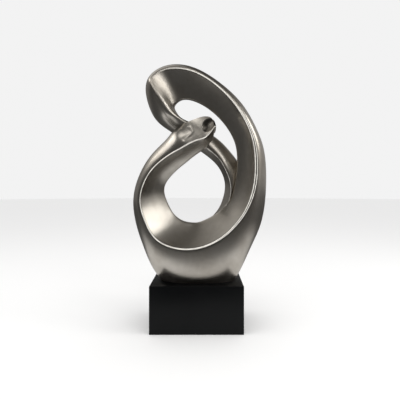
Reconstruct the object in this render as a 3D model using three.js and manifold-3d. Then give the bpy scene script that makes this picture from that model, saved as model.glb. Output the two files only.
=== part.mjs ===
// A twisted band sculpture that stands on a box plinth, in millimetres with +Z up.
// The origin is the middle of the plinth's underside, +X is to the viewer's right and -Y is the front.
import * as THREE from "three";
import Module from "manifold-3d";
import { mergeVertices } from "three/addons/utils/BufferGeometryUtils.js";

// Driving sizes
const bodyHeight = 470; // from the plinth's top to the highest point of the band
const plinthHeight = 97;
const sideLedge = 11.5; // how far the plinth stands out past the foot on the left and right
const frontLedge = 19; // and in front and behind
const plinthBevel = 0.8; // narrow flat on every edge of the plinth
const seatGap = 0.3; // glue line between the foot and the plinth's top

// How finely the band is cut into flat faces
const sectionsBeforeTop = 92;
const sectionsAfterTop = 40;
const facesAcross = { channel: 7, grooveWall: 1, land: 1, flank: 9, outerBack: 7, innerBack: 6 };
const headRings = 3; // rings that round off the free end of the hook

const share = bodyHeight / 100; // one hundredth of the body's height
const roundness = 0.5523; // handle length that makes a cubic curve a quarter circle
const fullRound = 0.25; // hollow, below zero, at which the channel has become half a circle
const grooveSlope = 0.8; // width of the furrow's wall for each unit of its depth
const grooveFoot = 0.15; // least width of that wall
const headReach = 0.16; // how far the hook's end bulges, for each unit of its height

// The hollow in the hook's spoon-like end: where its middle is, which way it lies and its size
const spoon = { middle: [5.2, 0, 70.1], along: [0.6, 0, 0.8], halfLength: 3.6, halfWidth: 2.7, depth: 1.1 };

// The band as stations along its run, in hundredths of the body's height.
// Every point is [right, back, up], measured from the middle of the plinth's top.
// inner runs along the edge of the holes, rim is the bright front ridge and outer is the outline.
// back is how far the rear face lies behind the middle.
// hollow sinks the face between inner and rim, and swells it where it is below zero.
// turn shapes the face between rim and outer: 1 is round, 0 is flat and below zero is hollow.
// land is the width of the narrow flat that the rim carries.
// groove is how deep a furrow runs beside that flat, where there is one.
const stations = [
  { at: "hook tip", inner: [7.8, -5.2, 66.8], rim: [8, -7.9, 69.4], outer: [7.1, -6.2, 72.8],
    back: -3.6, hollow: 0.02, turn: 0, land: 0.2 },
  { at: "hook nose", inner: [7.3, -4.8, 64.7], rim: [7, -8.5, 67.9], outer: [6, -5.9, 73.9],
    back: -2.2, hollow: 0.03, turn: -0.2, land: 0.3 },
  { at: "hook spoon", inner: [5.4, -4, 62], rim: [4.1, -9, 64.6], outer: [2.6, -5.2, 74.3],
    back: -1.3, hollow: 0.04, turn: -0.3, land: 0.4 },
  { at: "hook bowl", inner: [2.3, -3.2, 59.2], rim: [0.7, -9.3, 63.3], outer: [-1.2, -4.4, 73.3],
    back: -0.8, hollow: 0.05, turn: -0.2, land: 0.45 },
  { at: "hook dimple", inner: [-1.4, -2.8, 56.6], rim: [-3.2, -9.5, 61.7], outer: [-5.4, -3.8, 71.7],
    back: -0.5, hollow: 0.06, turn: 0.2, land: 0.5 },
  { at: "hook neck", inner: [-5.3, -2.4, 53.5], rim: [-7.4, -9.7, 59.3], outer: [-9.7, -3, 69.4],
    back: -0.2, hollow: 0.07, turn: 0.9, land: 0.45 },
  { at: "shoulder", inner: [-8.8, -2.2, 50.7], rim: [-10.9, -9.8, 57.4], outer: [-13.9, -2.2, 64.6],
    back: 1, hollow: 0.08, turn: 1, land: 0.45 },
  { at: "left upper", inner: [-14, -1.8, 45], rim: [-17.4, -10.1, 52.6], outer: [-21.2, -1.2, 57.1],
    back: 4.5, hollow: 0.08, turn: 1, land: 0.45 },
  { at: "left high", inner: [-15.3, -1.4, 40.8], rim: [-22.3, -10.4, 46.3], outer: [-26.9, -0.5, 47.3],
    back: 7.5, hollow: 0.06, turn: 1, land: 0.45 },
  { at: "left middle", inner: [-14.5, -1, 36.9], rim: [-24.9, -10.8, 37.4], outer: [-29.4, 0, 36.2],
    back: 9.5, hollow: 0.035, turn: 1, land: 0.45 },
  { at: "left low", inner: [-11.8, -0.8, 31.2], rim: [-23, -11.6, 28.5], outer: [-27.8, 0, 24.3],
    back: 10.8, hollow: 0.02, turn: 1, land: 0.45 },
  { at: "bowl left", inner: [-9.2, -0.7, 28.3], rim: [-19.8, -12.1, 22.2], outer: [-24.7, 0, 14.9],
    back: 11.2, hollow: 0.02, turn: 1, land: 0.45 },
  { at: "foot left", inner: [-6.1, -0.6, 26.6], rim: [-14.1, -12.5, 17.5], outer: [-17.3, 0, 0.4],
    back: 11.6, hollow: 0.03, turn: 1, land: 0.45 },
  { at: "foot middle", inner: [-1.5, -0.5, 25.9], rim: [-3.9, -12.8, 15.5], outer: [-0.8, 0, -10.8],
    back: 11.9, hollow: 0.03, turn: 1, land: 0.45 },
  { at: "foot right", inner: [2.7, -0.6, 26.8], rim: [5.1, -12.7, 17.4], outer: [10.2, 0, -8.4],
    back: 11.8, hollow: 0.02, turn: 1, land: 0.5 },
  { at: "right low", inner: [9.1, -1.2, 30.3], rim: [12.9, -12.4, 22], outer: [18.9, 0.4, 1.8],
    back: 11.4, hollow: 0.02, turn: 1, land: 0.7 },
  { at: "bowl right", inner: [12.1, -2.2, 33.2], rim: [17.1, -12, 26.1], outer: [24.8, 0.6, 14.1],
    back: 11, hollow: 0.03, turn: 1, land: 0.9 },
  { at: "crotch", inner: [14.8, -3, 36.9], rim: [20.8, -11.6, 30.9], outer: [29.6, 0.8, 25.3],
    back: 10.6, hollow: 0.04, turn: 1, land: 1.1 },
  { at: "right middle", inner: [17.5, -3.4, 44.7], rim: [25.3, -10.8, 41.5], outer: [32.2, 1, 41.1],
    back: 9.8, hollow: 0.07, turn: 0.8, land: 1.6 },
  { at: "right high", inner: [18.4, -3.4, 56.2], rim: [26.4, -10, 56], outer: [31.5, 1, 58.4],
    back: 9.2, hollow: 0.09, turn: 0.8, land: 1.8 },
  { at: "right shoulder", inner: [17.1, -3.3, 63.7], rim: [24.7, -9.4, 65.5], outer: [28.5, 0.9, 67.8],
    back: 8.8, hollow: 0.1, turn: 0.8, land: 1.5 },
  { at: "crown right", inner: [12.1, -3.2, 72.1], rim: [19.3, -8.7, 76.4], outer: [21.8, 0.8, 80],
    back: 8.2, hollow: 0.1, turn: 0.8, land: 0.9 },
  { at: "crown", inner: [3.6, -3, 79.7], rim: [9.3, -8, 87.6], outer: [10.3, 0.6, 91.1],
    back: 7.6, hollow: 0.09, turn: 0.8, land: 0.6 },
  { at: "top", inner: [-4.9, -2.8, 82.9], rim: [-3.3, -7.2, 94.9], outer: [-4.1, 0.3, 98.7],
    back: 7.2, hollow: 0.07, turn: 0.8, land: 0.5 },
  { at: "crown left", inner: [-9, -3, 81.5], rim: [-14.6, -6.8, 95.2], outer: [-16.3, 0.2, 98.1],
    back: 7, hollow: 0.04, turn: 0.8, land: 0.5 },
  { at: "lobe top", inner: [-10.3, -3.6, 79.1], rim: [-20.4, -10.8, 88.5], outer: [-23, 0.5, 91.6],
    back: 7.2, hollow: -0.05, turn: 0.8, land: 0.4 },
  { at: "lobe", inner: [-9.4, -2.9, 76.9], rim: [-18.2, -9.3, 81.5], outer: [-24, 2, 85],
    back: 7.6, hollow: -0.16, turn: 0.8, land: 0.3 },
  { at: "lobe low", inner: [-7.1, -2.4, 74.4], rim: [-14.6, -7.2, 75.4], outer: [-20.5, 3.4, 75.6],
    back: 8.6, hollow: -0.21, turn: 0.8, land: 0.4 },
  { at: "behind neck", inner: [-2.2, -0.6, 72.3], rim: [-10.4, -3.4, 70.5], outer: [-12.9, 4.5, 69.1],
    back: 10, hollow: -0.22, turn: 0.7, land: 0.5, groove: 0.2 },
  { at: "behind hook", inner: [10.9, 4.6, 64.6], rim: [7.1, -2, 58.4], outer: [5.4, 5.2, 56.8],
    back: 10.2, hollow: -0.16, turn: 0.1, land: 0.5, groove: 0.7 },
  { at: "tail bend", inner: [16.8, 6, 58.5], rim: [12, -3.4, 52.5], outer: [10.9, 4.4, 50.7],
    back: 9.6, hollow: -0.16, turn: 0, land: 0.5, groove: 0.9 },
  { at: "tail", inner: [21, 5.6, 50.9], rim: [14.9, -4.2, 45.5], outer: [13.1, 3.4, 43.9],
    back: 9, hollow: -0.15, turn: 0, land: 0.5, groove: 0.9 },
  { at: "tail low", inner: [19.3, 4, 40.6], rim: [15.1, -4.5, 38.1], outer: [11.9, 3, 36.3],
    back: 8.5, hollow: -0.12, turn: 0, land: 0.4, groove: 0.8 },
  { at: "tail merge", inner: [15.9, 1.5, 34.5], rim: [12.6, -2.6, 33], outer: [9.6, 3.4, 31.5],
    back: 8, hollow: -0.08, turn: 0.1, land: 0.2, groove: 0.4 },
  { at: "tail end", inner: [11.2, 2.5, 29.7], rim: [8.6, 0.6, 28.9], outer: [6.3, 3.8, 27.7],
    back: 7.5, hollow: -0.05, turn: 0.2, land: 0.1, groove: 0.1 },
];
const topStation = stations.findIndex((station) => station.at === "top");

const wasm = await Module();
wasm.setup();

// Smooth run through the stations

function rowOf(station) {
  return [
    ...station.inner, ...station.rim, ...station.outer,
    station.back, station.hollow, station.turn, station.land, station.groove ?? 0,
  ];
}

function middleOf(row) {
  return new THREE.Vector3(row[0] + row[3] + row[6], row[1] + row[4] + row[7], row[2] + row[5] + row[8])
    .divideScalar(3);
}

// Where each station lies along the run: the root of each step's length, added up.
function runOf(rows) {
  const run = [0];
  for (let i = 1; i < rows.length; i++) {
    run.push(run[i - 1] + Math.sqrt(middleOf(rows[i]).distanceTo(middleOf(rows[i - 1]))));
  }
  return run;
}

// Second derivatives of the natural cubic spline through one column of values.
function bendsOf(run, values) {
  const last = run.length - 1;
  const ratio = [0];
  const right = [0];
  for (let i = 1; i < last; i++) {
    const before = run[i] - run[i - 1];
    const after = run[i + 1] - run[i];
    const slopes = (values[i + 1] - values[i]) / after - (values[i] - values[i - 1]) / before;
    const pivot = 2 * (before + after) - before * ratio[i - 1];
    ratio.push(after / pivot);
    right.push((6 * slopes - before * right[i - 1]) / pivot);
  }
  const bends = new Array(last + 1).fill(0);
  for (let i = last - 1; i > 0; i--) bends[i] = right[i] - ratio[i] * bends[i + 1];
  return bends;
}

const rows = stations.map(rowOf);
const run = runOf(rows);
const columns = rows[0].map((_, k) => rows.map((row) => row[k]));
const bends = columns.map((values) => bendsOf(run, values));

function rowAt(place) {
  let i = run.length - 2;
  while (i > 0 && run[i] > place) i -= 1;
  const step = run[i + 1] - run[i];
  const a = (run[i + 1] - place) / step;
  const b = 1 - a;
  return columns.map((values, k) => {
    const straight = a * values[i] + b * values[i + 1];
    return straight + ((a ** 3 - a) * bends[k][i] + (b ** 3 - b) * bends[k][i + 1]) * step * step / 6;
  });
}

// One closed section of the band

function curvePoints(start, pullA, pullB, end, faces) {
  const curve = new THREE.CubicBezierCurve3(start, pullA, pullB, end);
  return curve.getPoints(faces).slice(0, faces);
}

function straightPoints(start, end, faces) {
  return Array.from({ length: faces }, (_, i) => start.clone().lerp(end, i / faces));
}

// A point of the flank, moved back where it lies inside the spoon's oval.
function sunkBySpoon(point) {
  const fromMiddle = point.clone().sub(new THREE.Vector3(...spoon.middle)).setY(0);
  const way = new THREE.Vector3(...spoon.along).normalize();
  const side = new THREE.Vector3(way.z, 0, -way.x);
  const oval = (fromMiddle.dot(way) / spoon.halfLength) ** 2 + (fromMiddle.dot(side) / spoon.halfWidth) ** 2;
  return point.setY(point.y + spoon.depth * Math.max(0, 1 - oval));
}

function splitDepth(vector) {
  const depth = new THREE.Vector3(0, vector.y, 0);
  return { depth, across: vector.clone().sub(depth) };
}

// A quarter of an oval that leaves start along one direction and meets end along the other.
function quarter(start, end, leavesAlongDepth, faces) {
  const { depth, across } = splitDepth(end.clone().sub(start));
  const first = leavesAlongDepth ? depth : across;
  const second = leavesAlongDepth ? across : depth;
  const pullA = start.clone().addScaledVector(first, roundness);
  const pullB = end.clone().addScaledVector(second, -roundness);
  return curvePoints(start, pullA, pullB, end, faces);
}

function sectionPoints(row) {
  const inner = new THREE.Vector3(row[0], row[1], row[2]);
  const rim = new THREE.Vector3(row[3], row[4], row[5]);
  const outer = new THREE.Vector3(row[6], row[7], row[8]);
  const [back, hollow, turn, wantedLand, groove] = row.slice(9);
  const rear = inner.clone().add(outer).multiplyScalar(0.5).setY(back);

  const toRim = rim.clone().sub(inner);
  const toOuter = outer.clone().sub(rim);
  const land = Math.max(0.02, Math.min(wantedLand, 0.6 * toOuter.length(), 0.6 * toRim.length()));
  const landStart = rim.clone().addScaledVector(toRim.clone().normalize(), -land / 2);
  const landEnd = rim.clone().addScaledVector(toOuter.clone().normalize(), land / 2);

  // The channel between the hole and the rim, and the furrow's wall
  const along = toRim.clone().normalize();
  const inward = new THREE.Vector3(0, 1, 0).addScaledVector(along, -along.y).normalize();
  const furrow = Math.max(0, groove);
  const channelEnd = landStart.clone().addScaledVector(along, -grooveFoot - grooveSlope * furrow)
    .addScaledVector(inward, furrow);
  const chord = channelEnd.clone().sub(inner);
  const swell = Math.min(1, Math.max(0, -hollow / fullRound));
  const reach = (1 - swell) / 3;
  const sink = inward.clone().multiplyScalar(hollow * chord.length() * 4 / 3);
  const channelA = inner.clone().addScaledVector(chord, reach).add(sink);
  const channelB = channelEnd.clone().addScaledVector(chord, -reach).add(sink);

  // The face that falls from the rim to the outline
  const fall = outer.clone().sub(landEnd);
  const { depth, across } = splitDepth(fall);
  const straight = (1 - turn) / 3;
  const flankA = landEnd.clone().addScaledVector(fall, straight).addScaledVector(across, turn * roundness);
  const flankB = outer.clone().addScaledVector(fall, -straight).addScaledVector(depth, -turn * roundness);

  return [
    ...curvePoints(inner, channelA, channelB, channelEnd, facesAcross.channel),
    ...straightPoints(channelEnd, landStart, facesAcross.grooveWall),
    ...straightPoints(landStart, landEnd, facesAcross.land),
    landEnd,
    ...curvePoints(landEnd, flankA, flankB, outer, facesAcross.flank).slice(1).map(sunkBySpoon),
    ...quarter(outer, rear, true, facesAcross.outerBack),
    ...quarter(rear, inner, false, facesAcross.innerBack),
  ].map((point) => point.multiplyScalar(share).setZ(point.z + plinthHeight));
}

function centreOf(ring) {
  const centre = new THREE.Vector3();
  for (const point of ring) centre.add(point);
  return centre.divideScalar(ring.length);
}

// A closed length of the band, from one place on its run to another.
function bandRings(from, to, count) {
  const rings = [];
  for (let i = 0; i <= count; i++) rings.push(sectionPoints(rowAt(from + (to - from) * i / count)));
  return rings;
}

// Rings that close the hook's free end like the end of a finger, square to its height.
function headOf(rings, row) {
  const first = rings[0];
  const centre = centreOf(first);
  const height = new THREE.Vector3(row[6] - row[0], row[7] - row[1], row[8] - row[2]);
  const upright = height.clone().normalize();
  const outward = centre.clone().sub(centreOf(rings[1]));
  outward.addScaledVector(upright, -outward.dot(upright)).normalize();
  const reach = height.length() * headReach * share;
  const head = [];
  for (let i = headRings; i > 0; i--) {
    const angle = i / (headRings + 1) * Math.PI / 2;
    head.push(first.map((point) => centre.clone()
      .addScaledVector(point.clone().sub(centre), Math.cos(angle))
      .addScaledVector(outward, reach * Math.sin(angle))));
  }
  return head;
}

function solidFromGeometry(geometry) {
  const clean = geometry.clone();
  clean.deleteAttribute("normal");
  clean.deleteAttribute("uv");
  const merged = mergeVertices(clean, 1e-4);
  return new wasm.Manifold(new wasm.Mesh({
    numProp: 3,
    vertProperties: Float32Array.from(merged.attributes.position.array),
    triVerts: Uint32Array.from(merged.index.array),
  }));
}

function solidFromRings(rings) {
  const size = rings[0].length;
  const points = [...rings.flat(), centreOf(rings[0]), centreOf(rings[rings.length - 1])];
  const startCentre = points.length - 2;
  const endCentre = points.length - 1;
  const lastRing = (rings.length - 1) * size;
  const faces = [];
  for (let j = 0; j < size; j++) {
    const next = (j + 1) % size;
    faces.push(startCentre, next, j);
    faces.push(endCentre, lastRing + j, lastRing + next);
    for (let i = 0; i < rings.length - 1; i++) {
      const a = i * size + j;
      const b = i * size + next;
      const c = a + size;
      const d = b + size;
      const shortWay = points[a].distanceTo(points[d]) < points[b].distanceTo(points[c]);
      if (shortWay) faces.push(a, b, d, a, d, c);
      else faces.push(a, b, c, b, d, c);
    }
  }
  const geometry = new THREE.BufferGeometry().setFromPoints(points);
  geometry.setIndex(faces);
  return solidFromGeometry(geometry);
}

// The cast body

const topPlace = run[topStation];
const hookRings = bandRings(0, topPlace, sectionsBeforeTop);
const tailRings = bandRings(topPlace, run[run.length - 1], sectionsAfterTop);
const ring = solidFromRings([...headOf(hookRings, rows[0]), ...hookRings]);
const tail = solidFromRings(tailRings);

// Everything under the plinth's top comes away, which leaves the flat foot.
const footLevel = plinthHeight + seatGap;
const spare = new THREE.BoxGeometry(2 * bodyHeight, 2 * bodyHeight, bodyHeight);
spare.translate(0, 0, footLevel - bodyHeight / 2);
const body = ring.add(tail).subtract(solidFromGeometry(spare));

function geometryOf(solid) {
  const mesh = solid.getMesh();
  const positions = new Float32Array(mesh.numVert * 3);
  for (let i = 0; i < mesh.numVert; i++) {
    for (let k = 0; k < 3; k++) positions[3 * i + k] = mesh.vertProperties[mesh.numProp * i + k];
  }
  const geometry = new THREE.BufferGeometry();
  geometry.setAttribute("position", new THREE.BufferAttribute(positions, 3));
  geometry.setIndex(new THREE.BufferAttribute(Uint32Array.from(mesh.triVerts), 1));
  geometry.computeVertexNormals();
  return geometry;
}

// How far the foot reaches from the middle, across and in depth.
function footReach(geometry) {
  const positions = geometry.attributes.position;
  const reach = { across: 0, deep: 0 };
  for (let i = 0; i < positions.count; i++) {
    if (positions.getZ(i) > footLevel + seatGap) continue;
    reach.across = Math.max(reach.across, Math.abs(positions.getX(i)));
    reach.deep = Math.max(reach.deep, Math.abs(positions.getY(i)));
  }
  return reach;
}

// The plinth: a sharp box with every edge broken by a narrow flat.
function bevelledBox(width, depth, height, bevel) {
  const outline = new THREE.Shape();
  const x = width / 2 - bevel;
  const y = depth / 2 - bevel;
  outline.moveTo(-x, -y).lineTo(x, -y).lineTo(x, y).lineTo(-x, y).closePath();
  const box = new THREE.ExtrudeGeometry(outline, {
    depth: height - 2 * bevel,
    bevelEnabled: true,
    bevelThickness: bevel,
    bevelSize: bevel,
    bevelSegments: 1,
  });
  return box.translate(0, 0, bevel);
}

const bodyGeometry = geometryOf(body);
const foot = footReach(bodyGeometry);
const plinthWidth = 2 * (foot.across + sideLedge);
const plinthDepth = 2 * (foot.deep + frontLedge);

const silver = new THREE.MeshStandardMaterial({ color: 0x8f8b84, metalness: 0.9, roughness: 0.35 });
const black = new THREE.MeshStandardMaterial({ color: 0x111214, metalness: 0, roughness: 0.45 });

const sculpture = new THREE.Mesh(bodyGeometry, silver);
sculpture.name = "sculpture";
const plinth = new THREE.Mesh(bevelledBox(plinthWidth, plinthDepth, plinthHeight, plinthBevel), black);
plinth.name = "plinth";

const group = new THREE.Group();
group.add(sculpture, plinth);

export default group;
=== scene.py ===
import math

import bmesh
import bpy
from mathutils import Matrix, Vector
from mathutils.kdtree import KDTree


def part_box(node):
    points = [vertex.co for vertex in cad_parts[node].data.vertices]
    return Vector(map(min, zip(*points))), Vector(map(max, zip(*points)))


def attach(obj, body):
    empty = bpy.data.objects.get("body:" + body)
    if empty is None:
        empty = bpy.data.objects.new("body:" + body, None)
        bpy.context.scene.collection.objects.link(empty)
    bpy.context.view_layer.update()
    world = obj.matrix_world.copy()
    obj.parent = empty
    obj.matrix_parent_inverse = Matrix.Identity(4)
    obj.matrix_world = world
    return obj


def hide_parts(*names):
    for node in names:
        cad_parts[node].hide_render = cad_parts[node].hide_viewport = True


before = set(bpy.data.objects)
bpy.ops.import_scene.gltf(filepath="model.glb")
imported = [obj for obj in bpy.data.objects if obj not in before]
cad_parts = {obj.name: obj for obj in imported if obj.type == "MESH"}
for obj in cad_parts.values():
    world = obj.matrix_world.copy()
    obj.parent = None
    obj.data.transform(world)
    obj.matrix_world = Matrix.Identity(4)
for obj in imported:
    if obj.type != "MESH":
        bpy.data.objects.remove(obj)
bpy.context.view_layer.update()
print("frame loaded")

# Small helpers for node trees


def addNode(tree, kind, inputs=None, **settings):
    node = tree.nodes.new(kind)
    for name, value in settings.items():
        setattr(node, name, value)
    for name, value in (inputs or {}).items():
        feed(tree, node.inputs[name], value)
    return node


def feed(tree, socket, value):
    if isinstance(value, bpy.types.NodeSocket):
        tree.links.new(value, socket)
    else:
        socket.default_value = value


def vec(tree, operation, a, b=None, scale=None):
    node = addNode(tree, "ShaderNodeVectorMath", operation=operation)
    feed(tree, node.inputs[0], a)
    if b is not None:
        feed(tree, node.inputs[1], b)
    if scale is not None:
        feed(tree, node.inputs["Scale"], scale)
    return node.outputs["Value" if operation == "LENGTH" else "Vector"]


def num(tree, operation, a, b=None, c=None, clamp=False):
    node = addNode(tree, "ShaderNodeMath", operation=operation, use_clamp=clamp)
    for i, value in enumerate((a, b, c)):
        if value is not None:
            feed(tree, node.inputs[i], value)
    return node.outputs[0]


def along(tree, start, direction, distance):  # start + direction * distance
    return vec(tree, "ADD", start, vec(tree, "SCALE", direction, scale=distance))


# The band: its stations, in hundredths of the body's height

band = {
    "hookSections": 190,  # sections from the hook's tip to the shoulder
    "ringSections": 270,  # from there to the top of the ring
    "tailSections": 150,  # and on to the tail's end
    "headSections": 14,  # sections that round off the hook's tip
    "headReach": 0.16,  # how far that end reaches out, as a share of the band's width there
    "acrossChannel": 26,
    "acrossCorner": 3,
    "acrossLand": 3,
    "acrossFlank": 44,
    "acrossBack": 20,
    "acrossInner": 16,
    "acrossEdge": 5,
    "rimRounding": 0.22,  # reach of the rim's two soft edges, in hundredths of the height
    "holeRounding": 0.45,  # the same for the edge round the openings
    "lobeRounding": 1.3,  # and for both on the lobe and the tail, which have no crisp edge
    "paintedDarkReflection": 0.9,  # painted dark reflection in the channel under the hook's rim
    "topReach": 99.4,  # how high the band reaches, in hundredths of the height
    "roundness": 0.5523,  # handle length of a quarter circle
    "fullRound": 0.25,  # hollow, below zero, at which the channel is half a circle
}

# the hollow in the hook's spoon-like end: an oval sunk into the flank
spoon = {"middle": (5.2, 0, 70.1), "along": (0.6, 0, 0.8), "halfLength": 3.6, "halfWidth": 2.7, "depth": 0.8}

# the comma-shaped crease beside it, as points (right, up)
crease = {"line": [(-3.6, 69.6), (-2.6, 68.5), (-2.25, 67.2), (-2.9, 66), (-4.2, 65), (-5.8, 63.6)],
          "halfWidth": 1.3, "depth": 0.2}

# inner, rim and outer are points (right, back, up) from the middle of the plinth's top,
# then back, hollow, turn, land and groove
stations = [
    ("hook tip", (7.8, -5.2, 66.8), (8, -7.9, 69.4), (7.1, -6.2, 72.8), -3.6, 0.02, 0, 0.2, 0),
    ("hook nose", (7.3, -4.8, 64.7), (7, -8.5, 67.9), (6, -5.9, 73.9), -2.2, 0.03, -0.2, 0.3, 0),
    ("hook spoon", (5.4, -4, 62), (4.1, -9, 64.6), (2.6, -5.2, 74.3), -1.3, 0.04, -0.3, 0.4, 0),
    ("hook bowl", (2.3, -3.2, 59.2), (0.7, -9.3, 63.3), (-1.2, -4.4, 73.3), -0.8, 0.05, -0.2, 0.45, 0),
    ("hook dimple", (-1.4, -2.8, 56.6), (-3.2, -9.5, 61.7), (-5.4, -3.8, 71.7), -0.5, 0.06, 0.2, 0.5, 0),
    ("hook neck", (-5.3, -2.4, 53.5), (-7.4, -9.7, 59.3), (-9.7, -3, 69.4), -0.2, 0.07, 0.9, 0.45, 0),
    ("shoulder", (-8.8, -2.2, 50.7), (-10.9, -9.8, 57.4), (-13.9, -2.2, 64.6), 1, 0.08, 1, 0.45, 0),
    ("left upper", (-14, -1.8, 45), (-17.4, -10.1, 52.6), (-21.2, -1.2, 57.1), 4.5, 0.08, 1, 0.45, 0),
    ("left high", (-15.3, -1.4, 40.8), (-22.3, -10.4, 46.3), (-26.9, -0.5, 47.3), 7.5, 0.06, 1, 0.45, 0),
    ("left middle", (-14.5, -1, 36.9), (-24.9, -10.8, 37.4), (-29.4, 0, 36.2), 9.5, 0.035, 1, 0.45, 0),
    ("left low", (-11.8, -0.8, 31.2), (-23, -11.6, 28.5), (-27.8, 0, 24.3), 10.8, 0.02, 1, 0.45, 0),
    ("bowl left", (-9.2, -0.7, 28.3), (-19.8, -12.1, 22.2), (-24.7, 0, 14.9), 11.2, 0.02, 1, 0.45, 0),
    ("foot left", (-6.1, -0.6, 26.6), (-14.1, -12.5, 17.5), (-17.3, 0, 0.4), 11.6, 0.03, 1, 0.45, 0),
    ("foot middle", (-1.5, -0.5, 25.9), (-3.9, -12.8, 15.5), (-0.8, 0, -10.8), 11.9, 0.03, 1, 0.45, 0),
    ("foot right", (2.7, -0.6, 26.8), (5.1, -12.7, 17.4), (10.2, 0, -8.4), 11.8, 0.02, 1, 0.5, 0),
    ("right low", (9.1, -1.2, 30.3), (12.9, -12.4, 22), (18.9, 0.4, 1.8), 11.4, 0.02, 1, 0.7, 0),
    ("bowl right", (12.1, -2.2, 33.2), (17.1, -12, 26.1), (24.8, 0.6, 14.1), 11, 0.03, 1, 0.9, 0),
    ("crotch", (14.8, -3, 36.9), (20.8, -11.6, 30.9), (29.6, 0.8, 25.3), 10.6, 0.04, 1, 1.1, 0),
    ("right middle", (17.5, -3.4, 44.7), (25.3, -10.8, 41.5), (32.2, 1, 41.1), 9.8, 0.07, 0.8, 1.6, 0),
    ("right high", (18.4, -3.4, 56.2), (26.4, -10, 56), (31.5, 1, 58.4), 9.2, 0.09, 0.8, 1.8, 0),
    ("right shoulder", (17.1, -3.3, 63.7), (24.7, -9.4, 65.5), (28.5, 0.9, 67.8), 8.8, 0.1, 0.8, 1.5, 0),
    ("crown right", (12.1, -3.2, 72.1), (19.3, -8.7, 76.4), (21.8, 0.8, 80), 8.2, 0.1, 0.8, 0.9, 0),
    ("crown", (3.6, -3, 79.7), (9.3, -8, 87.6), (10.3, 0.6, 91.1), 7.6, 0.09, 0.8, 0.6, 0),
    ("top", (-4.9, -2.8, 82.9), (-3.3, -7.2, 94.9), (-4.1, 0.3, 98.7), 7.2, 0.07, 0.8, 0.5, 0),
    ("crown left", (-9, -3, 81.5), (-14.6, -6.8, 95.2), (-16.3, 0.2, 98.1), 7, 0.04, 0.8, 0.5, 0),
    ("lobe top", (-10.3, -3.6, 79.1), (-20.4, -10.8, 88.5), (-23, 0.5, 91.6), 7.2, -0.05, 0.8, 0.4, 0),
    ("lobe", (-9.4, -2.9, 76.9), (-18.2, -9.3, 81.5), (-24, 2, 85), 7.6, -0.16, 0.8, 0.3, 0),
    ("lobe low", (-7.1, -2.4, 74.4), (-14.6, -7.2, 75.4), (-20.5, 3.4, 75.6), 8.6, -0.21, 0.8, 0.4, 0),
    ("behind neck", (-2.2, -0.6, 72.3), (-10.4, -3.4, 70.5), (-12.9, 4.5, 69.1), 10, -0.22, 0.7, 0.5, 0.2),
    ("behind hook", (10.9, 4.6, 64.6), (7.1, -2, 58.4), (5.4, 5.2, 56.8), 10.2, -0.16, 0.1, 0.5, 0.7),
    ("tail bend", (16.8, 6, 58.5), (12, -3.4, 52.5), (10.9, 4.4, 50.7), 9.6, -0.16, 0, 0.5, 0.9),
    ("tail", (21, 5.6, 50.9), (14.9, -4.2, 45.5), (13.1, 3.4, 43.9), 9, -0.15, 0, 0.5, 0.9),
    ("tail low", (19.3, 4, 40.6), (15.1, -4.5, 38.1), (11.9, 3, 36.3), 8.5, -0.12, 0, 0.4, 0.8),
    ("tail merge", (15.9, 1.5, 34.5), (12.6, -2.6, 33), (9.6, 3.4, 31.5), 8, -0.08, 0.1, 0.2, 0.4),
    ("tail end", (11.2, 2.5, 29.7), (8.6, 0.6, 28.9), (6.3, 3.8, 27.7), 7.5, -0.05, 0.2, 0.1, 0.1),
]
stationRows = [[*s[1], *s[2], *s[3], *s[4:]] for s in stations]
neckStation = [s[0] for s in stations].index("shoulder")
topStation = [s[0] for s in stations].index("top")
lobeEnd = [s[0] for s in stations].index("behind hook")
paintedReflectionEnd = [s[0] for s in stations].index("left middle")


def rowMiddle(row):
    return Vector((row[0] + row[3] + row[6], row[1] + row[4] + row[7], row[2] + row[5] + row[8])) / 3


def naturalBends(run, values):  # second derivatives of a natural cubic spline
    last = len(run) - 1
    ratio, right = [0.0], [0.0]
    for i in range(1, last):
        before, after = run[i] - run[i - 1], run[i + 1] - run[i]
        slopes = (values[i + 1] - values[i]) / after - (values[i] - values[i - 1]) / before
        pivot = 2 * (before + after) - before * ratio[i - 1]
        ratio.append(after / pivot)
        right.append((6 * slopes - before * right[i - 1]) / pivot)
    bends = [0.0] * (last + 1)
    for i in range(last - 1, 0, -1):
        bends[i] = right[i] - ratio[i] * bends[i + 1]
    return bends


bandRun = [0.0]
for before, after in zip(stationRows, stationRows[1:]):
    bandRun.append(bandRun[-1] + math.sqrt((rowMiddle(after) - rowMiddle(before)).length))
bandColumns = list(zip(*stationRows))
bandBends = [naturalBends(bandRun, column) for column in bandColumns]


def rowAt(place):
    i = len(bandRun) - 2
    while i > 0 and bandRun[i] > place:
        i -= 1
    step = bandRun[i + 1] - bandRun[i]
    a = (bandRun[i + 1] - place) / step
    b = 1 - a
    return [
        a * column[i] + b * column[i + 1]
        + ((a**3 - a) * bends[i] + (b**3 - b) * bends[i + 1]) * step * step / 6
        for column, bends in zip(bandColumns, bandBends)
    ]


# A guide: one point for each section, which carries that section's values


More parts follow.
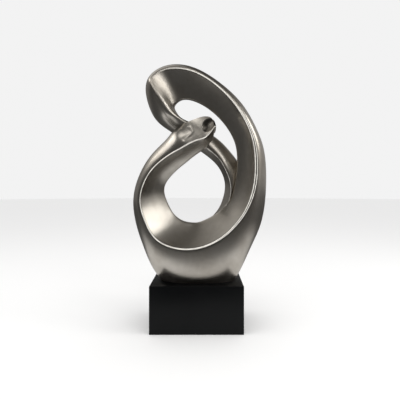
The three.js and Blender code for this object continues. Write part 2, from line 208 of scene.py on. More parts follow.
def makeGuide(name, lengths, headSections=0):
    runs = [lengths[0][0]]
    for start, end, count in lengths:
        runs += [start + (end - start) * (i + 1) / count for i in range(count)]
    rows = [rowAt(run) for run in runs]
    softness = [min((run - bandRun[topStation]) / 6, (bandRun[lobeEnd] - run) / 5) for run in runs]
    softness = softness[:1] * (headSections or 1) + softness + softness[-1:]
    paintedDarkReflection = [band["paintedDarkReflection"] * max(0, min(1, run / 6, (bandRun[paintedReflectionEnd] - run) / 1.2)) for run in runs]
    paintedDarkReflection = paintedDarkReflection[:1] * (headSections or 1) + paintedDarkReflection + paintedDarkReflection[-1:]
    pinch, push = [1.0] * len(rows), [Vector((0, 0, 0))] * len(rows)
    if headSections:
        outward = rowMiddle(rows[0]) - rowMiddle(rows[1])
        across = (Vector(rows[0][6:9]) - Vector(rows[0][0:3])).normalized()
        outward = (outward - across * outward.dot(across)).normalized()
        reach = (Vector(rows[0][0:3]) - Vector(rows[0][6:9])).length * band["headReach"]
        for i in range(headSections):
            angle = (i + 1) / headSections * math.pi / 2
            rows.insert(0, rows[0])
            pinch.insert(0, math.cos(angle))
            push.insert(0, outward * reach * math.sin(angle))
        pinch[0] = 0.0
    else:
        rows.insert(0, rows[0])  # flat end
        pinch.insert(0, 0.0)
        push.insert(0, Vector((0, 0, 0)))
    rows.append(rows[-1])
    pinch.append(0.0)
    push.append(Vector((0, 0, 0)))

    mesh = bpy.data.meshes.new(name)
    mesh.from_pydata([(0, 0, 0)] * len(rows), [], [])

    def store(label, kind, values):
        attribute = mesh.attributes.new(label, kind, "POINT")
        flat = [x for v in values for x in v] if kind == "FLOAT_VECTOR" else list(values)
        attribute.data.foreach_set("vector" if kind == "FLOAT_VECTOR" else "value", flat)

    lands, edges, holeEdges, crisp = [], [], [], []
    for row, soft in zip(rows, softness):
        toRim = Vector(row[3:6]) - Vector(row[0:3])
        toOuter = Vector(row[6:9]) - Vector(row[3:6])
        land = max(0.02, min(row[12], 0.6 * toRim.length, 0.6 * toOuter.length))
        width = (toRim.normalized() + toOuter.normalized()).length * land / 2
        lands.append(land)
        soft = min(1, max(0, soft))
        soft = soft * soft * (3 - 2 * soft)
        crisp.append(1 - soft)
        rounding = band["rimRounding"] + (band["lobeRounding"] - band["rimRounding"]) * soft
        edges.append(min(rounding, 0.45 * land, 0.4 * width))
        rounding = band["holeRounding"] + (band["lobeRounding"] - band["holeRounding"]) * soft
        holeEdges.append(min(rounding, 0.25 * toRim.length, 0.25 * abs(row[9] - row[1])))
    swell = [min(1, max(0, -row[10] / band["fullRound"])) for row in rows]
    store("inner", "FLOAT_VECTOR", [row[0:3] for row in rows])
    store("rim", "FLOAT_VECTOR", [row[3:6] for row in rows])
    store("outer", "FLOAT_VECTOR", [row[6:9] for row in rows])
    store("push", "FLOAT_VECTOR", push)
    store("back", "FLOAT", [row[9] for row in rows])
    store("hollow", "FLOAT", [row[10] for row in rows])
    store("turn", "FLOAT", [row[11] for row in rows])
    store("reach", "FLOAT", [(1 - s) / 3 for s in swell])
    store("land", "FLOAT", lands)
    store("edge", "FLOAT", edges)
    store("holeEdge", "FLOAT", holeEdges)
    store("pinch", "FLOAT", pinch)
    store("crisp", "FLOAT", crisp)
    store("paintedDarkReflection", "FLOAT", paintedDarkReflection)
    store("groove", "FLOAT", [max(0.0, row[13]) for row in rows])
    guide = bpy.data.objects.new(name, mesh)
    bpy.context.scene.collection.objects.link(guide)
    return guide


# Geometry Nodes that skin the guide: a grid whose rows are the band's sections


def buildBandTree():
    tree = bpy.data.node_groups.new("band loft", "GeometryNodeTree")
    tree.interface.new_socket("Guide", in_out="INPUT", socket_type="NodeSocketGeometry")
    counts = {}
    for label, key in (
        ("Across channel", "acrossChannel"), ("Across corner", "acrossCorner"), ("Across land", "acrossLand"),
        ("Across flank", "acrossFlank"), ("Across back", "acrossBack"), ("Across inner", "acrossInner"),
        ("Across edge", "acrossEdge"),
    ):
        socket = tree.interface.new_socket(label, in_out="INPUT", socket_type="NodeSocketInt")
        socket.default_value = band[key]
        counts[label] = socket
    roundSocket = tree.interface.new_socket("Roundness", in_out="INPUT", socket_type="NodeSocketFloat")
    roundSocket.default_value = band["roundness"]
    sizeSocket = tree.interface.new_socket("Share", in_out="INPUT", socket_type="NodeSocketFloat")
    tree.interface.new_socket("Base", in_out="INPUT", socket_type="NodeSocketFloat")
    tree.interface.new_socket("Finish", in_out="INPUT", socket_type="NodeSocketMaterial")
    tree.interface.new_socket("Band", in_out="OUTPUT", socket_type="NodeSocketGeometry")
    sizeSocket.default_value = 0.0047
    start = tree.nodes.new("NodeGroupInput").outputs
    end = tree.nodes.new("NodeGroupOutput")

    # arc lengths in points, then the running total at which each arc starts
    arcCounts = [start["Across channel"], start["Across corner"], start["Across land"], start["Across corner"],
                 start["Across flank"], start["Across back"], start["Across inner"], start["Across edge"]]
    starts = [0.0]
    for count in arcCounts:
        starts.append(num(tree, "ADD", starts[-1], count))
    around = num(tree, "ADD", starts[-1], 1.0)

    size = addNode(tree, "GeometryNodeAttributeDomainSize", {"Geometry": start["Guide"]}, component="MESH")
    grid = addNode(tree, "GeometryNodeMeshGrid", {"Vertices X": size.outputs["Point Count"], "Vertices Y": around})
    index = addNode(tree, "GeometryNodeInputIndex").outputs[0]
    section = num(tree, "FLOOR", num(tree, "DIVIDE", num(tree, "ADD", index, 0.5), around))
    place = num(tree, "SUBTRACT", index, num(tree, "MULTIPLY", section, around))

    def sampled(label, kind):
        attribute = addNode(tree, "GeometryNodeInputNamedAttribute", {"Name": label}, data_type=kind)
        pick = addNode(tree, "GeometryNodeSampleIndex", data_type=kind, domain="POINT")
        feed(tree, pick.inputs["Geometry"], start["Guide"])
        feed(tree, pick.inputs["Value"], attribute.outputs["Attribute"])
        feed(tree, pick.inputs["Index"], section)
        return pick.outputs[0]

    inner, rim, outer, push = [sampled(label, "FLOAT_VECTOR") for label in ("inner", "rim", "outer", "push")]
    back, hollow, turn, reach = [sampled(label, "FLOAT") for label in ("back", "hollow", "turn", "reach")]
    land, edge, holeEdge, pinch, groove, crisp, paintedDarkReflection = [sampled(label, "FLOAT") for label in (
        "land", "edge", "holeEdge", "pinch", "groove", "crisp", "paintedDarkReflection")]

    def split(vector):  # depth part and the part across the picture
        depth = vec(tree, "MULTIPLY", vector, (0, 1, 0))
        return depth, vec(tree, "SUBTRACT", vector, depth)

    toRim = vec(tree, "NORMALIZE", vec(tree, "SUBTRACT", rim, inner))
    toOuter = vec(tree, "NORMALIZE", vec(tree, "SUBTRACT", outer, rim))
    halfLand = num(tree, "MULTIPLY", land, 0.5)
    landStart = along(tree, rim, toRim, num(tree, "MULTIPLY", halfLand, -1.0))
    landEnd = along(tree, rim, toOuter, halfLand)
    landWay = vec(tree, "NORMALIZE", vec(tree, "SUBTRACT", landEnd, landStart))
    lessEdge = num(tree, "MULTIPLY", edge, -1.0)
    depthOfWay = addNode(tree, "ShaderNodeSeparateXYZ", {0: toRim}).outputs["Y"]
    inward = vec(tree, "NORMALIZE",
                 along(tree, (0, 1, 0), toRim, num(tree, "MULTIPLY", depthOfWay, -1.0)))
    besideRim = num(tree, "MULTIPLY", num(tree, "ADD", edge, num(tree, "MULTIPLY", groove, 0.8)), -1.0)
    channelEnd = along(tree, along(tree, landStart, toRim, besideRim), inward, groove)
    landFrom = along(tree, landStart, landWay, edge)
    landTo = along(tree, landEnd, landWay, lessEdge)
    flankFrom = along(tree, landEnd, toOuter, edge)

    # the hollow face between the holes and the rim
    holeFront = along(tree, inner, toRim, holeEdge)
    chord = vec(tree, "SUBTRACT", channelEnd, holeFront)
    sinkBy = num(tree, "MULTIPLY", num(tree, "MULTIPLY", hollow, vec(tree, "LENGTH", chord)), 4 / 3)
    sink = vec(tree, "SCALE", inward, scale=sinkBy)
    channelA = vec(tree, "ADD", along(tree, holeFront, chord, reach), sink)
    channelB = vec(tree, "ADD", along(tree, channelEnd, chord, num(tree, "MULTIPLY", reach, -1.0)), sink)

    # the face that falls from the rim to the outline
    fall = vec(tree, "SUBTRACT", outer, flankFrom)
    fallDepth, fallAcross = split(fall)
    straight = num(tree, "DIVIDE", num(tree, "SUBTRACT", 1.0, turn), 3.0)
    bow = num(tree, "MULTIPLY", turn, start["Roundness"])
    flankA = along(tree, along(tree, flankFrom, fall, straight), fallAcross, bow)
    flankB = along(tree, along(tree, outer, fall, num(tree, "MULTIPLY", straight, -1.0)),
                   fallDepth, num(tree, "MULTIPLY", bow, -1.0))

    # the rounded rear
    middle = vec(tree, "MULTIPLY", vec(tree, "ADD", inner, outer), (0.5, 0, 0.5))
    rearDepth = addNode(tree, "ShaderNodeCombineXYZ", {"Y": back}).outputs[0]
    rear = vec(tree, "ADD", middle, rearDepth)
    less = num(tree, "MULTIPLY", start["Roundness"], -1.0)
    outerDepth, outerAcross = split(vec(tree, "SUBTRACT", rear, outer))
    holeBack = along(tree, inner, (0, 1, 0), holeEdge)
    innerDepth, innerAcross = split(vec(tree, "SUBTRACT", holeBack, rear))
    holeWay = vec(tree, "NORMALIZE", vec(tree, "SUBTRACT", channelA, holeFront))

    arcs = [
        (holeFront, channelA, channelB, channelEnd),
        (channelEnd, along(tree, channelEnd, toRim, num(tree, "MULTIPLY", besideRim, -0.6)),
         along(tree, landFrom, landWay, num(tree, "MULTIPLY", edge, -0.6)), landFrom),
        (landFrom, landFrom, landTo, landTo),
        (landTo, along(tree, landTo, landWay, num(tree, "MULTIPLY", edge, 0.6)),
         along(tree, flankFrom, toOuter, num(tree, "MULTIPLY", edge, -0.6)), flankFrom),
        (flankFrom, flankA, flankB, outer),
        (outer, along(tree, outer, outerDepth, start["Roundness"]), along(tree, rear, outerAcross, less), rear),
        (rear, along(tree, rear, innerAcross, start["Roundness"]), along(tree, holeBack, innerDepth, less),
         holeBack),
        (holeBack, along(tree, holeBack, (0, -1, 0), num(tree, "MULTIPLY", holeEdge, 0.6)),
         along(tree, holeFront, holeWay, num(tree, "MULTIPLY", holeEdge, -0.6)), holeFront),
    ]

    def blend(a, b, factor):
        node = addNode(tree, "ShaderNodeMix", data_type="VECTOR", clamp_factor=True)
        feed(tree, node.inputs[0], factor)
        feed(tree, node.inputs[4], a)
        feed(tree, node.inputs[5], b)
        return node.outputs[1]

    point = None
    for k, arc in enumerate(arcs):
        step = num(tree, "DIVIDE", num(tree, "SUBTRACT", place, starts[k]), arcCounts[k], clamp=True)
        if k == 0:  # points crowd towards the rim on both sides of it
            step = num(tree, "SUBTRACT", 1.0, num(tree, "POWER", num(tree, "SUBTRACT", 1.0, step), 1.5))
        if k == 4:
            step = num(tree, "POWER", step, 1.5)
        a, b, c, d = arc
        ab, bc, cd = blend(a, b, step), blend(b, c, step), blend(c, d, step)
        here = blend(blend(ab, bc, step), blend(bc, cd, step), step)
        if point is None:
            point = here
        else:
            past = addNode(tree, "FunctionNodeCompare", data_type="FLOAT", operation="GREATER_EQUAL")
            feed(tree, past.inputs[0], place)
            feed(tree, past.inputs[1], num(tree, "SUBTRACT", starts[k], 0.5))
            choose = addNode(tree, "GeometryNodeSwitch", input_type="VECTOR")
            feed(tree, choose.inputs["Switch"], past.outputs[0])
            feed(tree, choose.inputs["False"], point)
            feed(tree, choose.inputs["True"], here)
            point = choose.outputs[0]

    # the oval hollow
    fromMiddle = vec(tree, "SUBTRACT", point, spoon["middle"])
    way = Vector(spoon["along"]).normalized()
    lengthPart = vec(tree, "LENGTH", vec(tree, "PROJECT", fromMiddle, way))
    widthPart = vec(tree, "LENGTH", vec(tree, "PROJECT", fromMiddle, Vector((way.z, 0, -way.x))))
    oval = num(tree, "ADD", num(tree, "POWER", num(tree, "DIVIDE", lengthPart, spoon["halfLength"]), 2.0),
               num(tree, "POWER", num(tree, "DIVIDE", widthPart, spoon["halfWidth"]), 2.0))
    sunk = num(tree, "MULTIPLY", num(tree, "SUBTRACT", 1.0, oval, clamp=True), spoon["depth"])

    # the crease, which is deepest along its line
    flat = vec(tree, "MULTIPLY", point, (1, 0, 1))
    apart = None
    for (x1, z1), (x2, z2) in zip(crease["line"], crease["line"][1:]):
        start2, step = Vector((x1, 0, z1)), Vector((x2 - x1, 0, z2 - z1))
        fromStart = vec(tree, "SUBTRACT", flat, start2)
        share = addNode(tree, "ShaderNodeVectorMath", {0: fromStart, 1: step / step.length_squared},
                        operation="DOT_PRODUCT").outputs["Value"]
        nearest = num(tree, "ADD", share, 0.0, clamp=True)
        gap = vec(tree, "LENGTH", vec(tree, "SUBTRACT", fromStart, vec(tree, "SCALE", step, scale=nearest)))
        apart = gap if apart is None else num(tree, "MINIMUM", apart, gap)
    closeTo = num(tree, "SUBTRACT", 1.0, num(tree, "DIVIDE", apart, crease["halfWidth"]), clamp=True)
    sunk = num(tree, "ADD", sunk, num(tree, "MULTIPLY", num(tree, "POWER", closeTo, 1.5), crease["depth"]))
    onFlank = num(tree, "MULTIPLY", num(tree, "GREATER_THAN", place, num(tree, "ADD", starts[4], 0.5)),
                  num(tree, "LESS_THAN", place, num(tree, "ADD", starts[5], 0.5)))
    sunk = num(tree, "MULTIPLY", sunk, onFlank)
    point = vec(tree, "ADD", point, addNode(tree, "ShaderNodeCombineXYZ", {"Y": sunk}).outputs[0])

    centre = vec(tree, "SCALE", vec(tree, "ADD", vec(tree, "ADD", inner, rim), outer), scale=1 / 3)
    point = along(tree, centre, vec(tree, "SUBTRACT", point, centre), pinch)
    point = vec(tree, "SCALE", vec(tree, "ADD", point, push), scale=start["Share"])
    point = vec(tree, "ADD", point, addNode(tree, "ShaderNodeCombineXYZ", {"Z": start["Base"]}).outputs[0])

    def near(first, last, falloff):  # 1 between two places of the section, fading beyond them
        middle = num(tree, "MULTIPLY", num(tree, "ADD", first, last), 0.5)
        half = num(tree, "MULTIPLY", num(tree, "SUBTRACT", last, first), 0.5)
        past = num(tree, "SUBTRACT", num(tree, "ABSOLUTE", num(tree, "SUBTRACT", place, middle)), half)
        faded = num(tree, "DIVIDE", num(tree, "MAXIMUM", past, 0.0), falloff)
        return num(tree, "SUBTRACT", 1.0, faded, clamp=True)

    # painted highlight: pale lines along both soft edges of the rim, and over the whole land where it is narrow
    narrow = addNode(tree, "ShaderNodeMapRange", {"Value": land, "From Min": 0.6, "From Max": 0.95,
                                                  "To Min": 1.0, "To Max": 0.0}).outputs[0]
    paintedEdgeHighlight = num(tree, "MAXIMUM", near(starts[1], starts[2], 0.9), near(starts[3], starts[4], 0.9))
    paintedEdgeHighlight = num(tree, "MAXIMUM", paintedEdgeHighlight, num(tree, "MULTIPLY", near(starts[2], starts[3], 1.0), narrow))
    paintedEdgeHighlight = num(tree, "MULTIPLY", paintedEdgeHighlight, crisp)

    # painted shade: darkening on both sides of the rim, along a wide flat and in the oval hollow
    paintedShade = num(tree, "MAXIMUM", near(starts[1], starts[1], 3.5), near(starts[4], starts[4], 5.0))
    wide = num(tree, "MULTIPLY", near(num(tree, "ADD", starts[2], 1.0), num(tree, "SUBTRACT", starts[3], 1.0), 1.0),
               num(tree, "SUBTRACT", 1.0, narrow))
    paintedShade = num(tree, "MULTIPLY", num(tree, "MAXIMUM", paintedShade, wide), crisp)
    inOval = num(tree, "MULTIPLY", num(tree, "SUBTRACT", 1.1, oval), 2.5, clamp=True)
    paintedShade = num(tree, "MAXIMUM", paintedShade, num(tree, "MULTIPLY", inOval, onFlank))
    # painted dark reflection: the channel darkens towards the rim, from the hook's tip to the left side
    underRim = num(tree, "POWER", near(starts[1], starts[1], 17.0), 0.6)
    underRim = num(tree, "MULTIPLY", underRim, num(tree, "LESS_THAN", place, starts[1]))
    paintedShade = num(tree, "MAXIMUM", paintedShade, num(tree, "MULTIPLY", underRim, paintedDarkReflection))
    geometry = grid.outputs["Mesh"]
    for label, value in (("paintedEdgeHighlight", paintedEdgeHighlight), ("paintedShade", paintedShade)):
        geometry = addNode(tree, "GeometryNodeStoreNamedAttribute",
                           {"Geometry": geometry, "Name": label, "Value": value},
                           data_type="FLOAT", domain="POINT").outputs[0]
    placed = addNode(tree, "GeometryNodeSetPosition", {"Geometry": geometry, "Position": point})
    closed = addNode(tree, "GeometryNodeMergeByDistance", {"Geometry": placed.outputs[0], "Distance": 1e-6})
    real = addNode(tree, "GeometryNodeRealizeInstances", {"Geometry": closed.outputs[0]})
    dressed = addNode(tree, "GeometryNodeSetMaterial", {"Geometry": real.outputs[0], "Material": start["Finish"]})
    tree.links.new(dressed.outputs[0], end.inputs["Band"])
    return tree


def skinGuide(guide, tree, values):
    modifier = guide.modifiers.new("loft", "NODES")
    modifier.node_group = tree
    sockets = {item.name: item.identifier for item in tree.interface.items_tree if item.in_out == "INPUT"}
    for name, value in values.items():
        modifier[sockets[name]] = value
    bpy.context.view_layer.update()
    evaluated = guide.evaluated_get(bpy.context.evaluated_depsgraph_get())
    mesh = bpy.data.meshes.new_from_object(evaluated)
    guide.modifiers.remove(modifier)
    return mesh


silver = bpy.data.materials.new("satin silver")
bandTree = buildBandTree()
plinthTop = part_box("plinth")[1].z
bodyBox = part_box("sculpture")
neckRun, topRun, endRun = bandRun[neckStation], bandRun[topStation], bandRun[-1]
bandShare = (bodyBox[1].z - plinthTop) / band["topReach"]

lengths = []
for name, guideLengths, head in (
    ("hook and ring", [(0, neckRun, band["hookSections"]), (neckRun, topRun, band["ringSections"])],
     band["headSections"]),
    ("lobe and tail", [(topRun, endRun, band["tailSections"])], 0),
):
    guide = makeGuide(name, guideLengths, head)
    mesh = skinGuide(guide, bandTree, {"Share": bandShare, "Base": plinthTop, "Finish": silver})
    lengths.append(mesh)
    bpy.data.objects.remove(guide)
print("band skinned:", [len(mesh.vertices) for mesh in lengths])


def makeObject(name, mesh):
    thing = bpy.data.objects.new(name, mesh)
    bpy.context.scene.collection.objects.link(thing)
    return thing


def faceOutwards(mesh):
    bm = bmesh.new()
    bm.from_mesh(mesh)
    bmesh.ops.remove_doubles(bm, verts=bm.verts, dist=1e-7)
    bmesh.ops.recalc_face_normals(bm, faces=bm.faces)
    if bm.calc_volume(signed=True) < 0:
        bmesh.ops.reverse_faces(bm, faces=bm.faces)
    openEdges = [e for e in bm.edges if not e.is_manifold]
    print(mesh.name, "open edges:", len(openEdges))
    bm.to_mesh(mesh)
    bm.free()


for mesh in lengths:
    faceOutwards(mesh)
sculpture = makeObject("cast_body", lengths[0])
tail = makeObject("tail length", lengths[1])
cutDepth = 0.4  # metres below the plinth's top, more than the band reaches
footCut = bpy.data.meshes.new("foot cut")
bm = bmesh.new()
bmesh.ops.create_cube(bm, size=1.0)
for v in bm.verts:
    v.co = Vector((v.co.x, v.co.y, (v.co.z - 0.5) * cutDepth + plinthTop))
bm.to_mesh(footCut)
bm.free()
footBox = makeObject("foot box", footCut)
for label, operation, other in (("join", "UNION", tail), ("foot", "DIFFERENCE", footBox)):
    modifier = sculpture.modifiers.new(label, "BOOLEAN")
    modifier.operation = operation
    modifier.solver = "EXACT"
    modifier.object = other
bpy.context.view_layer.update()
joined = bpy.data.meshes.new_from_object(sculpture.evaluated_get(bpy.context.evaluated_depsgraph_get()))
sculpture.modifiers.clear()
sculpture.data = joined
for extra in (tail, footBox):
    bpy.data.objects.remove(extra)

# the join mixes up the marks of the two lengths, so each point takes those of the point that it came from
originals = [v for mesh in lengths for v in mesh.vertices]
finder = KDTree(len(originals))
for i, v in enumerate(originals):
    finder.insert(v.co, i)
finder.balance()
cameFrom = [finder.find(v.co)[1] for v in joined.vertices]
for label in ("paintedEdgeHighlight", "paintedShade"):
    values = [d.value for mesh in lengths for d in mesh.attributes[label].data]
    joined.attributes[label].data.foreach_set("value", [values[i] for i in cameFrom])
triangles = sum(len(p.vertices) - 2 for p in joined.polygons)
print("body joined:", len(joined.vertices), "points", triangles, "triangles")


def finishShape(obj, sharpAngle):
    bm = bmesh.new()
    bm.from_mesh(obj.data)
    bmesh.ops.remove_doubles(bm, verts=bm.verts, dist=2e-6)
    bmesh.ops.dissolve_degenerate(bm, edges=bm.edges, dist=2e-6)
    bmesh.ops.recalc_face_normals(bm, faces=bm.faces)
    print(obj.name, "open edges:", len([e for e in bm.edges if not e.is_manifold]),
          "litres:", round(1000 * bm.calc_volume(), 3))
    bm.to_mesh(obj.data)
    bm.free()
    obj.data.shade_smooth()
    obj.data.set_sharp_from_angle(angle=math.radians(sharpAngle))


finishShape(sculpture, 48)


def fitToBox(obj, box):  # a fraction of a millimetre, so that the fine mesh keeps the solid's reach
    points = [v.co.copy() for v in obj.data.vertices]
    low = [min(p[k] for p in points) for k in range(3)]
    high = [max(p[k] for p in points) for k in range(3)]
    print("fine mesh against solid, mm:", [[round(1000 * (a - b), 2) for a, b in zip(s, t)]
                                           for s, t in ((low, box[0]), (high, box[1]))])
    for v in obj.data.vertices:
        for k in range(3):
            v.co[k] = box[0][k] + (v.co[k] - low[k]) * (box[1][k] - box[0][k]) / (high[k] - low[k])


fitToBox(sculpture, (Vector((bodyBox[0].x, bodyBox[0].y, plinthTop)), bodyBox[1]))

# The plinth: a lacquered box with softly broken edges

plinthLook = {"edgeRadius": 0.0011, "edgeSteps": 4}
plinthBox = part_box("plinth")
bm = bmesh.new()
bmesh.ops.create_cube(bm, size=1.0)
for v in bm.verts:
    for k in range(3):
        v.co[k] = plinthBox[1][k] if v.co[k] > 0 else plinthBox[0][k]
bmesh.ops.bevel(bm, geom=bm.edges[:], offset=plinthLook["edgeRadius"], segments=plinthLook["edgeSteps"],
                profile=0.5, affect="EDGES", clamp_overlap=True)
plinthMesh = bpy.data.meshes.new("black box plinth")
bm.to_mesh(plinthMesh)
bm.free()
plinth = makeObject("black_plinth", plinthMesh)
plinth.data.shade_smooth()
plinth.data.set_sharp_from_angle(angle=math.radians(40))
print("plinth made")

# Finishes


def newGroup(name, inputs, outputs):
    group = bpy.data.node_groups.new(name, "ShaderNodeTree")
    for label, kind, value in inputs:
        socket = group.interface.new_socket(label, in_out="INPUT", socket_type=kind)
        if value is not None:
            socket.default_value = value
    for label, kind in outputs:
        group.interface.new_socket(label, in_out="OUTPUT", socket_type=kind)
    return group, group.nodes.new("NodeGroupInput").outputs, group.nodes.new("NodeGroupOutput").inputs


def buildClouds():  # soft uneven patches, as on a hand-rubbed finish
    group, start, end = newGroup("soft clouds", [
        ("Place", "NodeSocketVector", None), ("Scale", "NodeSocketFloat", 20.0), ("Low", "NodeSocketFloat", 0.35),
        ("High", "NodeSocketFloat", 0.65)], [("Mask", "NodeSocketFloat")])
    noise = addNode(group, "ShaderNodeTexNoise", {"Vector": start["Place"], "Scale": start["Scale"],
                                                  "Detail": 2.0, "Roughness": 0.4})
    ramp = addNode(group, "ShaderNodeMapRange", {"Value": noise.outputs[0], "From Min": start["Low"],
                                                 "From Max": start["High"]}, interpolation_type="SMOOTHSTEP")
    feed(group, end["Mask"], ramp.outputs[0])
    return group


def buildGrain():  # very fine rubbing marks, drawn out along one direction
    group, start, end = newGroup("rubbed grain", [
        ("Place", "NodeSocketVector", None), ("Scale", "NodeSocketFloat", 400.0),
        ("Stretch", "NodeSocketVector", (1.0, 1.0, 0.12))], [("Height", "NodeSocketFloat")])
    drawn = vec(group, "MULTIPLY", start["Place"], start["Stretch"])
    noise = addNode(group, "ShaderNodeTexNoise", {"Vector": drawn, "Scale": start["Scale"],
                                                  "Detail": 3.0, "Roughness": 0.6})
    feed(group, end["Height"], noise.outputs[0])
    return group


clouds, grain = buildClouds(), buildGrain()


def placeGroup(tree, group, values):
    node = addNode(tree, "ShaderNodeGroup", node_tree=group)
    for name, value in values.items():
        feed(tree, node.inputs[name], value)
    return node.outputs[0]


def mixColour(tree, a, b, factor, blend="MIX"):
    node = addNode(tree, "ShaderNodeMix", data_type="RGBA", blend_type=blend)
    feed(tree, node.inputs[0], factor)
    feed(tree, node.inputs[6], a)
    feed(tree, node.inputs[7], b)
    return node.outputs[2]


def shaderOf(material):
    material.use_nodes = True
    tree = material.node_tree
    tree.nodes.clear()
    shader = addNode(tree, "ShaderNodeBsdfPrincipled")
    output = addNode(tree, "ShaderNodeOutputMaterial")
    tree.links.new(shader.outputs[0], output.inputs["Surface"])
    return tree, shader


silverLook = {
    "bright": (0.64, 0.605, 0.55, 1),
    "patina": (0.47, 0.43, 0.375, 1),
    "paintedHighlight": (0.95, 0.92, 0.85, 1),  # painted highlight: pale colour laid along the crisp edges
    "dark": (0.06, 0.053, 0.045, 1),  # painted shade: the dark colour laid where the shade mask is set
    "paintedHighlightMetal": 0.1,
    "roughLow": 0.29,
    "roughHigh": 0.35,
}


def dressSilver(material, look):
    tree, shader = shaderOf(material)
    place = addNode(tree, "ShaderNodeTexCoord").outputs["Object"]
    broad = placeGroup(tree, clouds, {"Place": place, "Scale": 14.0, "Low": 0.35, "High": 0.68})
    small = placeGroup(tree, clouds, {"Place": place, "Scale": 90.0, "Low": 0.3, "High": 0.75})
    marks = placeGroup(tree, grain, {"Place": place, "Scale": 520.0, "Stretch": (1.0, 1.0, 0.1)})
    edge = addNode(tree, "ShaderNodeAttribute", attribute_name="paintedEdgeHighlight", attribute_type="GEOMETRY").outputs["Fac"]
    # painted highlight along the edges, a little uneven
    paintedHighlight = num(tree, "MULTIPLY", edge, num(tree, "ADD", 0.75, num(tree, "MULTIPLY", small, 0.25)))
    paintedShade = addNode(tree, "ShaderNodeAttribute", attribute_name="paintedShade", attribute_type="GEOMETRY").outputs["Fac"]
    # painted shade, a little uneven
    paintedShadeAmount = num(tree, "MULTIPLY", paintedShade, num(tree, "ADD", 0.78, num(tree, "MULTIPLY", small, 0.2)))
    mixed = num(tree, "ADD", num(tree, "MULTIPLY", broad, 0.6), num(tree, "MULTIPLY", small, 0.25), clamp=True)
    colour = mixColour(tree, look["patina"], look["bright"], num(tree, "ADD", 0.35, mixed, clamp=True))
    colour = mixColour(tree, colour, look["dark"], paintedShadeAmount)
    feed(tree, shader.inputs["Base Color"], mixColour(tree, colour, look["paintedHighlight"], paintedHighlight))
    rough = addNode(tree, "ShaderNodeMapRange", {"Value": num(tree, "ADD", num(tree, "MULTIPLY", broad, 0.7),
                                                              num(tree, "MULTIPLY", small, 0.3)),
                                                 "To Min": look["roughHigh"], "To Max": look["roughLow"]})
    feed(tree, shader.inputs["Roughness"], rough.outputs[0])
    # the painted highlight is nearly matt, so it stays pale from every side
    metal = addNode(tree, "ShaderNodeMapRange", {"Value": paintedHighlight, "To Min": 1.0, "To Max": look["paintedHighlightMetal"]})
    feed(tree, shader.inputs["Metallic"], metal.outputs[0])
    bump = addNode(tree, "ShaderNodeBump", {"Strength": 0.06, "Distance": 0.0004, "Height": marks})
    feed(tree, shader.inputs["Normal"], bump.outputs[0])


blackLook = {
    "deep": (0.002, 0.0024, 0.0028, 1),
    "worn": (0.004, 0.0045, 0.005, 1),
    "roughLow": 0.32,
    "roughHigh": 0.44,
    "specular": 0.16,
    "coat": 0.03,
    "coatRoughness": 0.2,
}


def dressBlack(material, look):
    tree, shader = shaderOf(material)
    place = addNode(tree, "ShaderNodeTexCoord").outputs["Object"]
    broad = placeGroup(tree, clouds, {"Place": place, "Scale": 9.0, "Low": 0.35, "High": 0.7})
    peel = placeGroup(tree, clouds, {"Place": place, "Scale": 260.0, "Low": 0.2, "High": 0.8})
    feed(tree, shader.inputs["Base Color"], mixColour(tree, look["deep"], look["worn"], broad))
    rough = addNode(tree, "ShaderNodeMapRange", {"Value": broad, "To Min": look["roughLow"],
                                                 "To Max": look["roughHigh"]})
    feed(tree, shader.inputs["Roughness"], rough.outputs[0])
    bump = addNode(tree, "ShaderNodeBump", {"Strength": 0.08, "Distance": 0.0002, "Height": peel})
    feed(tree, shader.inputs["Normal"], bump.outputs[0])
    shader.inputs["Specular IOR Level"].default_value = look["specular"]
    shader.inputs["Coat Weight"].default_value = look["coat"]
    shader.inputs["Coat Roughness"].default_value = look["coatRoughness"]


dressSilver(silver, silverLook)
black = bpy.data.materials.new("black satin lacquer")
dressBlack(black, blackLook)
for obj, material in ((sculpture, silver), (plinth, black)):
    obj.data.materials.clear()
    obj.data.materials.append(material)
print("finishes made")

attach(sculpture, "root")
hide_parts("sculpture")
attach(plinth, "root")
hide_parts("plinth")

# Pale floor, softboxes and the camera

bpy.context.scene.view_settings.view_transform = "Standard"

studio = {
    "seenTone": 0.895,  # background as it is seen
    "paleTone": 0.96,  # floor as it is seen
    "nearTone": 0.72,  # floor as the silver mirrors it, close by and further off
    "farTone": 0.07,
    "daylight": 0.93,
    "darkRoom": 0.055,
    "ceiling": 0.6,
    "backRight": 0.3,
    "backLeft": 0.12,
    "keyPower": 3.0,
    "panelPower": 0.9,
    "stripPower": 3.4,
    "frontPower": 1.3,
    "topPower": 0.85,
}
bpy.ops.mesh.primitive_circle_add(vertices=96, radius=12.0, fill_type="NGON", location=(0, 0, 0))
floor = bpy.context.object
floor.name = "pale_floor"
floorFinish = bpy.data.materials.new("pale floor")
tree, shader = shaderOf(floorFinish)
place = addNode(tree, "ShaderNodeTexCoord").outputs["Object"]
away = vec(tree, "LENGTH", vec(tree, "MULTIPLY", place, (0.8, 1.1, 1.0)))
far = addNode(tree, "ShaderNodeMapRange", {"Value": away, "From Min": 0.27, "From Max": 0.50},
              interpolation_type="SMOOTHSTEP").outputs[0]
mirrored = mixColour(tree, [studio["nearTone"]] * 3 + [1], [studio["farTone"]] * 3 + [1], far)
feed(tree, shader.inputs["Base Color"],
     mixColour(tree, [studio["paleTone"]] * 3 + [1], mirrored,
               addNode(tree, "ShaderNodeLightPath").outputs["Is Glossy Ray"]))
shader.inputs["Roughness"].default_value = 0.9
shader.inputs["Specular IOR Level"].default_value = 0.0
floor.data.materials.append(floorFinish)

world = bpy.context.scene.world or bpy.data.worlds.new("studio")
bpy.context.scene.world = world
world.use_nodes = True
tree = world.node_tree
tree.nodes.clear()
direction = addNode(tree, "ShaderNodeTexCoord").outputs["Generated"]


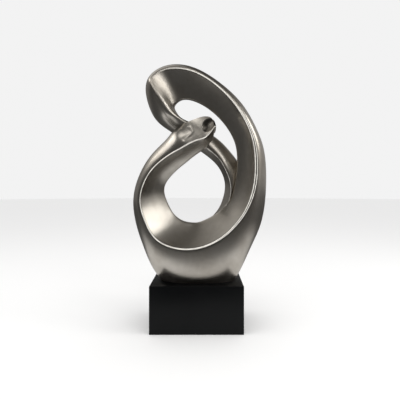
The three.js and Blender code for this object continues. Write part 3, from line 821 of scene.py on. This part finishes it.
def glow(towards, start, end, strength):  # a soft bright side of the dark room
    facing = addNode(tree, "ShaderNodeVectorMath", {0: direction, 1: Vector(towards).normalized()},
                     operation="DOT_PRODUCT").outputs["Value"]
    ramp = addNode(tree, "ShaderNodeMapRange", {"Value": facing, "From Min": start, "From Max": end},
                   interpolation_type="SMOOTHSTEP").outputs[0]
    return num(tree, "MULTIPLY", ramp, strength)


level = studio["darkRoom"]
for towards, start, end, strength in (
    ((-0.5, 0.3, 0.81), 0.8, 0.97, studio["ceiling"] - studio["darkRoom"]),
    ((0.78, 0.58, -0.24), 0.4, 0.8, studio["backRight"]),
    ((-0.8, 0.6, 0.0), 0.3, 0.8, studio["backLeft"]),
):
    level = num(tree, "ADD", glow(towards, start, end, strength), level)
room = addNode(tree, "ShaderNodeBackground", {"Color": (1.0, 0.98, 0.95, 1), "Strength": level})
daylight = addNode(tree, "ShaderNodeBackground", {"Color": (1, 1, 1, 1), "Strength": studio["daylight"]})
seen = addNode(tree, "ShaderNodeBackground", {"Color": [studio["seenTone"]] * 3 + [1], "Strength": 1.0})
paths = addNode(tree, "ShaderNodeLightPath").outputs
soft = addNode(tree, "ShaderNodeMixShader", {0: paths["Is Diffuse Ray"]})
tree.links.new(room.outputs[0], soft.inputs[1])
tree.links.new(daylight.outputs[0], soft.inputs[2])
pick = addNode(tree, "ShaderNodeMixShader", {0: paths["Is Camera Ray"]})
tree.links.new(soft.outputs[0], pick.inputs[1])
tree.links.new(seen.outputs[0], pick.inputs[2])
tree.links.new(pick.outputs[0], addNode(tree, "ShaderNodeOutputWorld").inputs[0])


def softbox(name, turn, lift, distance, width, height, power, colour=(1, 0.985, 0.955)):
    light = bpy.data.lights.new(name, "AREA")
    light.shape = "RECTANGLE"
    light.size, light.size_y = width, height
    light.energy, light.color = power, colour
    lamp = bpy.data.objects.new(name, light)
    bpy.context.scene.collection.objects.link(lamp)
    turn, lift = math.radians(turn), math.radians(lift)  # turn runs from the camera's side towards the right
    away = Vector((math.sin(turn) * math.cos(lift), -math.cos(turn) * math.cos(lift), math.sin(lift)))
    lamp.location = Vector((0, 0, 0.32)) + away * distance
    lamp.rotation_euler = (-away).to_track_quat("-Z", "Y").to_euler()
    return lamp


softbox("right key", 80, 30, 1.4, 0.64, 0.48, studio["keyPower"])
softbox("right panel", 68, 14, 1.75, 0.9, 0.8, studio["panelPower"])
softbox("left strip", -65, 46, 1.4, 1.3, 0.36, studio["stripPower"])
softbox("front lamp", 39, 43, 1.4, 0.36, 0.4, studio["frontPower"])
softbox("top lamp", 5, 60, 1.4, 0.38, 0.36, studio["topPower"])

view = {"focal": 32.4, "place": (0.0158, -0.79, 0.290), "shiftRight": -0.011, "shiftUp": -0.025}
camera = bpy.data.objects.new("camera", bpy.data.cameras.new("camera"))
camera.data.sensor_width = 36.0
camera.data.lens = view["focal"]
camera.data.shift_x, camera.data.shift_y = view["shiftRight"], view["shiftUp"]
camera.location = view["place"]
camera.rotation_euler = (math.pi / 2, 0, 0)
camera.data.clip_start, camera.data.clip_end = 0.01, 50
bpy.context.scene.collection.objects.link(camera)
bpy.context.scene.camera = camera
print("studio ready")
